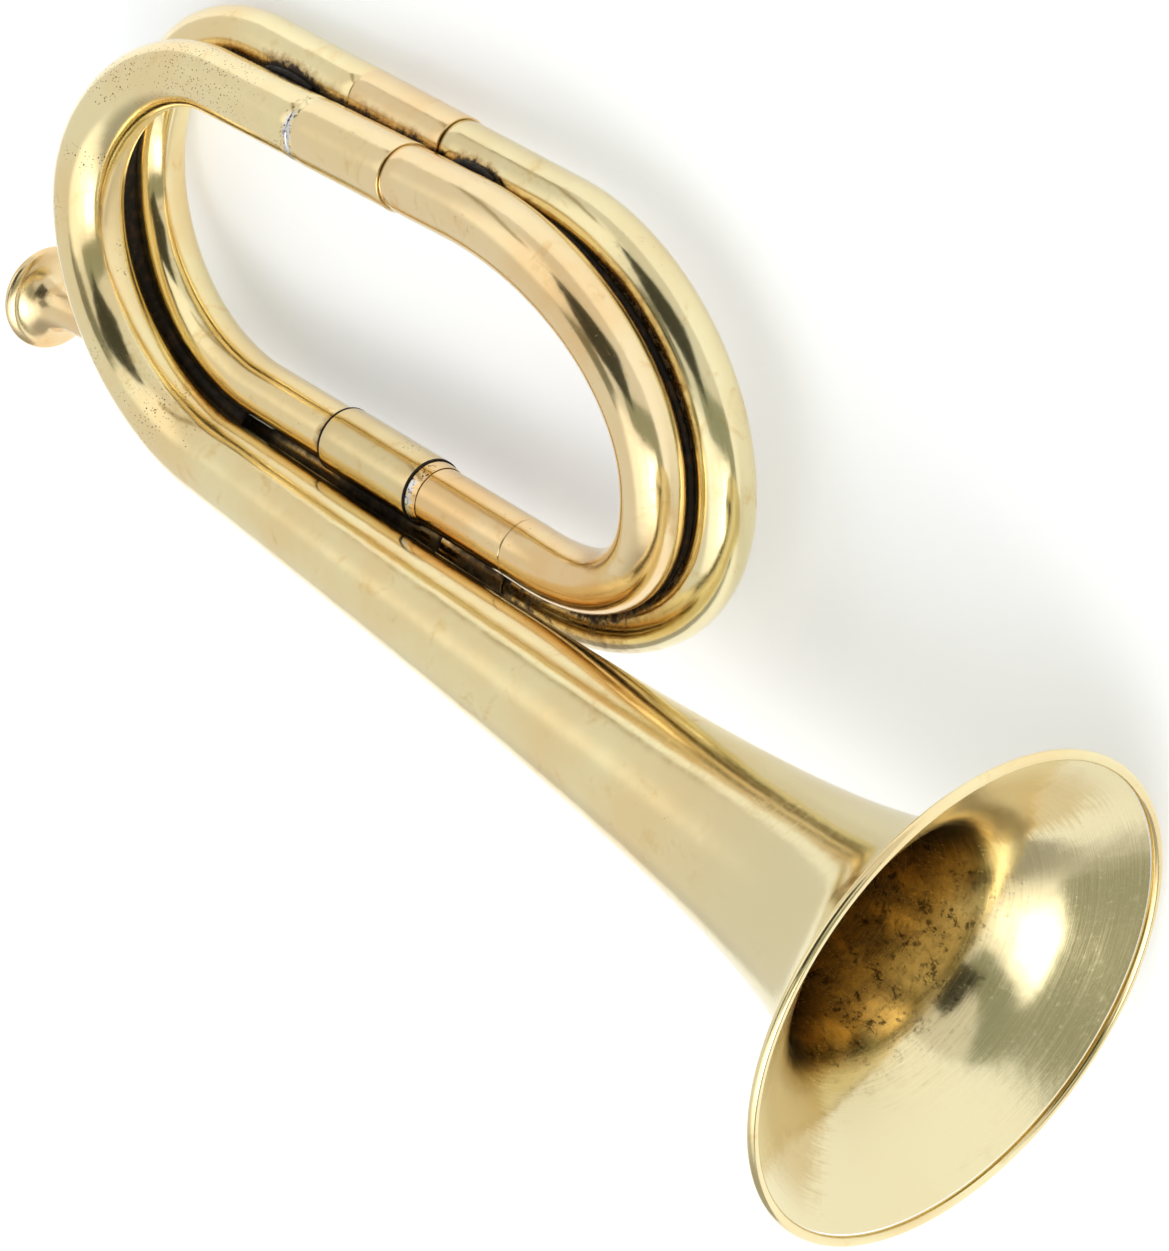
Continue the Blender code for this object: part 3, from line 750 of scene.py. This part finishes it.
class Nodes:
    """A short way to write a node tree."""

    def __init__(self, name=None, tree=None):
        if tree is None:
            self.material = bpy.data.materials.new(name)
            self.material.use_nodes = True
            tree = self.material.node_tree
            self.shader = tree.nodes["Principled BSDF"]
        self.tree = tree

    def add(self, kind, **settings):
        node = self.tree.nodes.new(kind)
        for key, value in settings.items():
            setattr(node, key, value)
        return node

    def feed(self, socket, value):
        if isinstance(value, bpy.types.NodeSocket):
            self.tree.links.new(value, socket)
        else:
            socket.default_value = value

    def attribute(self, name):
        node = self.add("ShaderNodeAttribute", attribute_name=name)
        return node.outputs["Vector" if name in ("place", "spin") else "Fac"]

    def math(self, operation, a, b=0.0, clamp=False):
        node = self.add("ShaderNodeMath", operation=operation, use_clamp=clamp)
        self.feed(node.inputs[0], a)
        self.feed(node.inputs[1], b)
        return node.outputs[0]

    def times(self, a, b):
        return self.math("MULTIPLY", a, b)

    def plus(self, a, b):
        return self.math("ADD", a, b)

    def split(self, vector):
        node = self.add("ShaderNodeSeparateXYZ")
        self.feed(node.inputs[0], vector)
        return node.outputs

    def vector(self, x, y, z):
        node = self.add("ShaderNodeCombineXYZ")
        for socket, value in zip(node.inputs, (x, y, z)):
            self.feed(socket, value)
        return node.outputs[0]

    def scaled(self, vector, factors):
        node = self.add("ShaderNodeVectorMath", operation="MULTIPLY")
        self.feed(node.inputs[0], vector)
        node.inputs[1].default_value = factors
        return node.outputs[0]

    def distance(self, vector, point):
        node = self.add("ShaderNodeVectorMath", operation="DISTANCE")
        self.feed(node.inputs[0], vector)
        node.inputs[1].default_value = point
        return node.outputs["Value"]

    def noise(self, vector, scale, detail=3.0, roughness=0.5, distortion=0.0):
        node = self.add("ShaderNodeTexNoise")
        self.feed(node.inputs["Vector"], vector)
        node.inputs["Scale"].default_value = scale
        node.inputs["Detail"].default_value = detail
        node.inputs["Roughness"].default_value = roughness
        node.inputs["Distortion"].default_value = distortion
        return node.outputs["Fac"]

    def cells(self, vector, scale):
        node = self.add("ShaderNodeTexVoronoi")
        self.feed(node.inputs["Vector"], vector)
        node.inputs["Scale"].default_value = scale
        return node.outputs["Distance"]

    def span(self, value, low, high, to_low=0.0, to_high=1.0):
        node = self.add("ShaderNodeMapRange", interpolation_type="SMOOTHSTEP")
        self.feed(node.inputs["Value"], value)
        for key, number in (("From Min", low), ("From Max", high), ("To Min", to_low), ("To Max", to_high)):
            node.inputs[key].default_value = number
        return node.outputs["Result"]

    def mix(self, factor, a, b):
        node = self.add("ShaderNodeMix", data_type="RGBA")
        self.feed(node.inputs["Factor"], factor)
        colours = [s for s in node.inputs if s.type == "RGBA"]
        for socket, value in zip(colours, (a, b)):
            self.feed(socket, (*value, 1.0) if isinstance(value, tuple) else value)
        return next(s for s in node.outputs if s.type == "RGBA")

    def lines(self, along, round_, detail=5.0, roughness=0.62):
        """Noise drawn out round the axis or along it, without a seam."""
        run, spin = self.attribute("run"), self.attribute("spin")
        cosine, sine = (self.times(part, round_) for part in self.split(spin)[:2])
        drawn = self.vector(self.times(run, along), cosine, sine)
        return self.noise(drawn, 1.0, detail, roughness)

    def bump(self, height, strength, distance, normal=None):
        node = self.add("ShaderNodeBump")
        node.inputs["Strength"].default_value = strength
        node.inputs["Distance"].default_value = distance
        self.feed(node.inputs["Height"], height)
        if normal is not None:
            self.feed(node.inputs["Normal"], normal)
        return node.outputs["Normal"]


def brass(
    name, pale, warm, spun=False, shade_and_patina=1.0, deep=1.0, low=1.0, pitting=0.4, satin=0.0, worn=None,
    smear=None, bell=False,
):
    """Old brass that has been polished often.

    spun turns its fine polishing lines round the axis. shade_and_patina scales the painted shade and the
    patina in the gaps between pieces, deep how far out of them it reaches, and low how much further it
    reaches on the coil's lower side; pitting scales the specks, which also crowd round the point worn; satin
    is added to the roughness; smear is a patch of wiped solder, as wiped_patch takes it; bell darkens the
    bell's inside with depth.
    """
    n = Nodes(name)
    place, gap = n.attribute("place"), n.attribute("gap")
    cloud = n.noise(place, 0.045, 4.0, 0.55)
    colour = n.mix(n.span(cloud, 0.35, 0.68), pale, warm)
    lines = n.lines(5.0, 0.9) if spun else n.lines(0.09, 34.0, 4.0, 0.6)
    scuffs = n.noise(n.scaled(place, (0.5, 2.2, 1.6)), 0.8, 5.0, 0.7, 0.4)
    fine_lines = n.span(lines, 0.3, 0.75, 0.10 + satin, 0.20 + satin)
    roughness = n.plus(fine_lines, n.span(scuffs, 0.5, 0.75, 0.0, 0.10))

    film = n.noise(place, 0.16, 5.0, 0.65, 0.6)
    stain = n.span(film, 0.56, 0.74, 0.0, 0.5)
    colour = n.mix(stain, colour, tuple(c * f for c, f in zip(warm, (0.86, 0.72, 0.45))))
    roughness = n.plus(roughness, n.times(stain, 0.16))
    if bell:
        colour, roughness = bell_depth_tones(n, place, colour, roughness)

    group = n.span(n.noise(place, 0.07, 2.0), 0.48, 0.62)
    fine = group
    if worn is not None:
        fine = n.math("MAXIMUM", group, n.span(n.distance(place, worn), 8.0, 36.0, 1.0, 0.0))
    pit = specks(n, place, 0.9, 0.16 * pitting, 0.09, group)
    freckles = specks(n, n.scaled(place, (0.7, 1.0, 1.0)), 1.6, 0.30 * pitting, 0.20, fine)
    colour = n.mix(n.times(freckles, 0.8), colour, (0.30, 0.20, 0.08))
    colour = n.mix(pit, colour, (0.055, 0.038, 0.02))

    # Painted shade and patina: brown, then black, where the brass runs close to another piece, reaching
    # further on the coil's lower side; the black also makes the metal dull.
    height = n.split(place)[1]
    open_gap = n.times(gap, n.span(n.noise(place, 0.03, 2.0), 0.40, 0.60, 1.45, 0.70))
    open_gap = n.times(open_gap, n.span(height, 6.0, 32.0, 1.0 / low, 1.0))
    ragged = n.plus(open_gap, n.span(n.noise(place, 0.5, 5.0, 0.72), 0.2, 0.8, -0.7, 0.7))
    brown = n.times(n.span(ragged, 0.9 * deep, 2.3 * deep, 1.0, 0.0), 0.62 * shade_and_patina)
    black = n.times(n.span(ragged, 0.35 * deep, 1.25 * deep, 1.0, 0.0), 0.97 * shade_and_patina)
    colour = n.mix(brown, colour, (0.40, 0.22, 0.06))
    colour = n.mix(black, colour, (0.022, 0.012, 0.006))
    shade_patina_and_pits = n.math("MAXIMUM", black, pit)
    metallic = n.span(shade_patina_and_pits, 0.1, 1.0, 1.0, 0.15)
    if smear is not None:
        silver, fleck = wiped_patch(n, place, *smear)
        colour = n.mix(silver, colour, (0.74, 0.74, 0.75))
        colour = n.mix(fleck, colour, (0.05, 0.035, 0.03))
        roughness = n.plus(roughness, n.times(silver, 0.12))

    roughness = n.math("ADD", roughness, n.math("MULTIPLY", shade_patina_and_pits, 0.45), clamp=True)
    n.feed(n.shader.inputs["Base Color"], colour)
    n.feed(n.shader.inputs["Metallic"], metallic)
    n.feed(n.shader.inputs["Roughness"], roughness)
    normal = n.bump(n.noise(place, 0.11, 2.0, 0.4), 0.55, 0.00022)
    normal = n.bump(n.noise(place, 0.55, 2.0, 0.5), 0.5, 0.000018, normal)
    normal = n.bump(lines, 0.16 if spun else 0.12, 0.00003 if spun else 0.00002, normal)
    normal = n.bump(scuffs, 0.10, 0.00002, normal)
    normal = n.bump(n.times(pit, -1.0), 0.5, 0.00008, normal)
    n.feed(n.shader.inputs["Normal"], normal)
    return n.material


def specks(n, place, scale, size, wander, group):
    """Small dark pits, larger where group is nearer to 1."""
    wobble = n.times(n.noise(place, 3.0, 2.0), wander)
    spots = n.plus(n.cells(place, scale), wobble)
    return n.span(n.math("SUBTRACT", n.times(group, size), spots), -0.07, -0.02)


def wiped_patch(n, place, at, width, centre, facing):
    """A wiped patch of solder beside a joint, and the black flecks round it.

    at and width are along x in mm; centre is the tube's (y, z) there and facing the way the patch looks.
    """
    x, y, z = n.split(place)
    rag = n.noise(place, 0.55, 5.0, 0.72)
    off = n.math("ABSOLUTE", n.math("SUBTRACT", x, at))
    off = n.plus(off, n.span(rag, 0.2, 0.8, -0.9, 1.4))
    toward_y = n.times(n.math("SUBTRACT", y, centre[0]), facing[0])
    toward_z = n.times(n.math("SUBTRACT", z, centre[1]), facing[1])
    toward = n.plus(toward_y, toward_z)
    toward = n.plus(toward, n.span(rag, 0.2, 0.8, -2.0, 2.0))
    silver = n.span(off, width * 0.5, width * 0.5 + 0.4, 1.0, 0.0)
    silver = n.times(silver, n.span(toward, 1.6, 3.0))
    close = n.span(off, width * 0.5 + 0.2, width * 0.5 + 1.4, 1.0, 0.0)
    fleck = n.times(n.span(n.noise(place, 1.5, 4.0, 0.7), 0.54, 0.62), close)
    return silver, n.times(fleck, n.span(toward, -3.5, 0.5))


def bell_depth_tones(n, place, colour, roughness):
    """The bell's tones by depth: olive on the flare, then amber, brown and black further inside, with amber
    also on the half of the inside on the camera's side.
    """
    inside = n.attribute("inside")
    x, y, z = n.split(place)
    depth = n.times(x, -1.0)
    brushed = n.lines(2.2, 3.0, 4.0, 0.65)
    cloud = n.noise(place, 0.13, 5.0, 0.6, 0.5)
    brushed = n.span(brushed, 0.25, 0.75, -2.6, 2.6)
    ragged = n.plus(brushed, n.span(cloud, 0.25, 0.75, -2.5, 2.5))
    reach = n.plus(depth, ragged)
    near_y = n.times(y, 0.72)
    near = n.plus(near_y, n.times(z, 0.69))
    near = n.plus(near, n.times(ragged, 0.8))
    side = n.times(n.span(near, -6.0, 1.0), n.span(depth, 1.5, 5.0))
    colour = n.mix(n.span(depth, 26.0, 64.0, 0.9, 0.0), colour, OLIVE)
    amber = n.times(n.math("MAXIMUM", n.span(reach, 9.0, 24.0), side), inside)
    colour = n.mix(n.times(amber, 0.8), colour, (0.60, 0.44, 0.18))
    mottled = n.span(n.noise(place, 0.24, 6.0, 0.70, 0.8), 0.44, 0.60)
    brown = n.times(n.span(reach, 15.0, 34.0), inside)
    brown = n.times(brown, mottled)
    colour = n.mix(n.times(brown, 0.8), colour, (0.27, 0.18, 0.08))
    deepest_black = n.span(n.noise(place, 0.7, 5.0, 0.75, 0.4), 0.50, 0.60)
    deepest_black = n.times(deepest_black, n.span(reach, 11.5, 20.0))
    deepest_black = n.times(n.times(deepest_black, inside), n.span(mottled, 0.0, 1.0, 0.3, 1.0))
    colour = n.mix(n.times(deepest_black, 0.85), colour, (0.04, 0.024, 0.012))
    return colour, n.plus(roughness, n.times(brown, 0.10))


def flux_and_shade_material(name):
    """Black flux and dirt, dull, with brown and a few glints in it. It also colours the dark sheets and rings
    of painted shade between the tubes.
    """
    n = Nodes(name)
    place = n.attribute("place")
    brown = n.span(n.noise(place, 0.6, 5.0, 0.7), 0.45, 0.7)
    colour = n.mix(brown, (0.006, 0.004, 0.003), (0.045, 0.024, 0.010))
    n.feed(n.shader.inputs["Base Color"], colour)
    n.shader.inputs["Specular IOR Level"].default_value = 0.2
    n.feed(n.shader.inputs["Roughness"], n.span(n.noise(place, 1.2, 4.0, 0.7), 0.3, 0.7, 0.38, 0.75))
    n.feed(n.shader.inputs["Normal"], n.bump(n.noise(place, 1.4, 5.0, 0.7), 0.7, 0.00012))
    return n.material


def floor_paper(name):
    n = Nodes(name)
    coordinates = n.add("ShaderNodeTexCoord").outputs["Object"]
    grain = n.noise(coordinates, 900.0, 3.0)
    paper = n.mix(n.span(grain, 0.3, 0.7), (0.93, 0.93, 0.925), (0.95, 0.95, 0.945))
    n.feed(n.shader.inputs["Base Color"], paper)
    n.shader.inputs["Roughness"].default_value = 0.9
    n.shader.inputs["Specular IOR Level"].default_value = 0.1
    n.shader.inputs["Emission Color"].default_value = (0.84, 0.95, 1.12, 1.0)
    n.shader.inputs["Emission Strength"].default_value = FLOOR_GLOW
    return n.material


# ---------------------------------------------------------------- studio


# What the brass reflects, seen from the instrument: azimuth from +z towards +x and elevation towards +y,
# half width and half height, roll and softness of the edge, in degrees; then colour.
STUDIO = (
    ("light_low", 42, -26, 44, 25, 0, 14, (1.35, 1.33, 1.28)),
    ("light_low_core", 50, -27, 24, 11, 8, 12, (2.0, 1.98, 1.9)),
    ("light_core", 66, -20, 17, 12, 0, 10, (3.4, 3.35, 3.2)),
    ("light_left", -32, 31, 15, 24, 12, 9, (1.15, 1.13, 1.08)),
    ("card_olive", 64, 13, 40, 12, 0, 1.5, (0.33, 0.35, 0.27)),
    ("card_olive_drop", 90, -18, 14, 31, 0, 2.5, (0.36, 0.37, 0.29)),
    ("card_black", 17, 37, 24, 20, 0, 1.5, (0.06, 0.06, 0.045)),
    ("card_black_tail", -9, 4, 11, 12, 45, 2, (0.22, 0.22, 0.17)),
    ("gap_above", -70, 47, 22, 3.2, -12, 1.6, (0.42, 0.36, 0.25)),
)
STUDIO_WALLS = (0.80, 0.79, 0.76)
STUDIO_UNDER = (0.42, 0.41, 0.38)


def direction(azimuth, elevation):
    a, e = math.radians(azimuth), math.radians(elevation)
    return Vector((math.sin(a) * math.cos(e), math.sin(e), math.cos(a) * math.cos(e)))


def make_studio():
    """A pale room with soft lights and dark cards. Each one is a rectangle on the sky."""
    world = bpy.data.worlds.new("studio")
    bpy.context.scene.world = world
    world.use_nodes = True
    n = Nodes(tree=world.node_tree)
    turn = TO_WORLD.to_3x3() * (1 / MM)
    sky = n.add("ShaderNodeTexCoord").outputs["Generated"]

    def along(axis):
        node = n.add("ShaderNodeVectorMath", operation="DOT_PRODUCT")
        n.feed(node.inputs[0], sky)
        node.inputs[1].default_value = (turn @ axis).normalized()
        return node.outputs["Value"]

    colour = n.mix(n.span(along(Vector((0, 1, 0))), -0.95, -0.6, 1.0, 0.0), STUDIO_WALLS, STUDIO_UNDER)
    for _, azimuth, elevation, half_width, half_height, roll, soft, tone in STUDIO:
        centre = direction(azimuth, elevation)
        right = direction(azimuth + 90, 0)
        up = centre.cross(right) * -1
        turned_by = math.radians(roll)
        right, up = (
            right * math.cos(turned_by) + up * math.sin(turned_by),
            up * math.cos(turned_by) - right * math.sin(turned_by),
        )
        ahead = along(centre)
        mask = n.span(ahead, 0.0, 0.02)
        reach = n.math("MAXIMUM", ahead, 0.02)
        for axis, half in ((right, half_width), (up, half_height)):
            off = n.math("ABSOLUTE", n.math("DIVIDE", along(axis), reach))
            edge, fade = math.tan(math.radians(half)), math.tan(math.radians(soft))
            mask = n.times(mask, n.span(off, edge - fade, edge + fade, 1.0, 0.0))
        colour = n.mix(mask, colour, tone)
    n.feed(world.node_tree.nodes["Background"].inputs["Color"], colour)


def make_floor_light():
    """Lifts the paper to white. It isn't seen in the brass."""
    data = bpy.data.lights.new("floor_light", "AREA")
    data.shape = "DISK"
    data.size = 1.6
    data.energy = FLOOR_LIGHT_WATTS
    light = bpy.data.objects.new("floor_light", data)
    light.location = (0.1, 0.1, 1.6)
    light.visible_glossy = False
    bpy.context.scene.collection.objects.link(light)


def make_floor():
    half, steps = FLOOR_HALF, FLOOR_STEPS
    mesh = bpy.data.meshes.new("floor")
    at = [-half + 2 * half * i / steps for i in range(steps + 1)]
    points = [(x, y, -FLOOR_DROP) for x in at for y in at]
    faces = []
    for i in range(steps):
        for j in range(steps):
            a = i * (steps + 1) + j
            faces.append((a, a + steps + 1, a + steps + 2, a + 1))
    mesh.from_pydata(points, [], faces)
    floor = bpy.data.objects.new("studio_floor", mesh)
    bpy.context.scene.collection.objects.link(floor)
    mesh.materials.append(floor_paper("white_paper"))


def make_camera():
    data = bpy.data.cameras.new("camera")
    data.lens = LENS_MM
    data.sensor_width = 36.0
    data.shift_x, data.shift_y = SHIFT
    data.clip_start, data.clip_end = 0.01, 20.0
    camera = bpy.data.objects.new("camera", data)
    bpy.context.scene.collection.objects.link(camera)
    turn = TO_WORLD.to_3x3() * (1 / MM)
    back = -(turn @ LOOK).normalized()
    right = (turn @ IMAGE_RIGHT).normalized()
    right = (right - back * right.dot(back)).normalized()
    turned_to = Matrix((right, back.cross(right), back)).transposed().to_4x4()
    camera.matrix_world = Matrix.Translation(TO_WORLD @ EYE) @ turned_to
    bpy.context.scene.camera = camera


# ---------------------------------------------------------------- putting it together

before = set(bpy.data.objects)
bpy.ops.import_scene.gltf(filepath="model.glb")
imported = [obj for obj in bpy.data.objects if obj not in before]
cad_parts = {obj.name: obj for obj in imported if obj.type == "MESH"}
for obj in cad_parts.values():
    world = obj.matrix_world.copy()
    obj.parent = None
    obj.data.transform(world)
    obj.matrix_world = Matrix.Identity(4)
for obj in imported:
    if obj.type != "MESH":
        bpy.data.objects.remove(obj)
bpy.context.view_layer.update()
TO_WORLD = instrument_to_world()
pieces = {}
for make in (make_bell, make_coils, make_ferrules, make_receiver, make_mouthpiece, make_solder):
    pieces.update(make())
store_gaps(pieces)

PALE = (0.90, 0.79, 0.47)
WARM = (0.88, 0.70, 0.38)
OLIVE = (0.80, 0.705, 0.435)
OLIVE_WARM = (0.80, 0.66, 0.37)
ROSE = (0.88, 0.715, 0.43)
ROSE_WARM = (0.86, 0.60, 0.30)
FRONT_AND_DOWN = (-0.35, 0.94)
TOP_PATCH = (FERRULE_LEFT - 1.6, 1.9, tuple(point_at(FRONT_TOP, FERRULE_LEFT).yz), FRONT_AND_DOWN)
BOTTOM_PATCH = (FERRULE_RIGHT + 1.3, 1.6, tuple(point_at(BOTTOM, FERRULE_RIGHT).yz), FRONT_AND_DOWN)
finishes = {
    "bell_rim_bead": brass("rim_brass", PALE, WARM, spun=True, shade_and_patina=0.5),
    "bell_flare": brass("bell_brass", PALE, WARM, spun=True, satin=0.02, pitting=0.3, bell=True),
    "bell_stem": brass("stem_brass", PALE, WARM, satin=0.01, pitting=0.15),
    "front_left_bow": brass(
        "front_left_brass", PALE, WARM, pitting=0.9, worn=(-202.0, 76.0, -2.0), smear=TOP_PATCH
    ),
    "front_top_ferrule": brass("top_sleeve_brass", WARM, ROSE, pitting=0.5),
    "front_right_bow": brass("front_right_brass", ROSE, ROSE_WARM, pitting=0.4),
    "bottom_tube": brass("bottom_brass", ROSE, ROSE_WARM, smear=BOTTOM_PATCH),
    "bottom_ferrule": brass("bottom_sleeve_brass", OLIVE_WARM, (0.76, 0.58, 0.30), pitting=1.0),
    "rear_left_bow": brass("rear_left_brass", PALE, WARM, low=1.5),
    "rear_top_ferrule": brass("rear_sleeve_brass", ROSE, ROSE_WARM),
    "rear_right_bow": brass("rear_right_brass", (0.84, 0.745, 0.455), OLIVE_WARM, low=2.6),
    "leadpipe": brass("leadpipe_brass", PALE, WARM, deep=3.6),
    "leadpipe_ferrule": brass("leadpipe_sleeve_brass", WARM, ROSE, deep=2.6),
    "mouthpiece_receiver": brass("receiver_brass", PALE, WARM, deep=1.5),
    "mouthpiece": brass("mouthpiece_brass", ROSE, ROSE_WARM, spun=True, satin=0.06, shade_and_patina=0.4),
    "front_top_solder_ring": brass("top_band_brass", PALE, WARM, smear=TOP_PATCH),
    "bottom_solder_ring": brass("bottom_band_brass", ROSE, ROSE_WARM, smear=BOTTOM_PATCH),
}
FLUX_AND_SHADE = flux_and_shade_material("black_flux_and_shade")
for node, piece in pieces.items():
    piece.data.materials.append(finishes.get(node, FLUX_AND_SHADE))
    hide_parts(node)
    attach(piece, "mouthpiece" if node == "mouthpiece" else "bugle")
# The dark sheets and rings of painted shade and dirt between the tubes.
for piece in make_shade_and_dirt().values():
    piece.data.materials.append(FLUX_AND_SHADE)
    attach(piece, "bugle")

make_floor()
make_studio()
make_floor_light()
make_camera()
bpy.context.scene.view_settings.view_transform = "Standard"
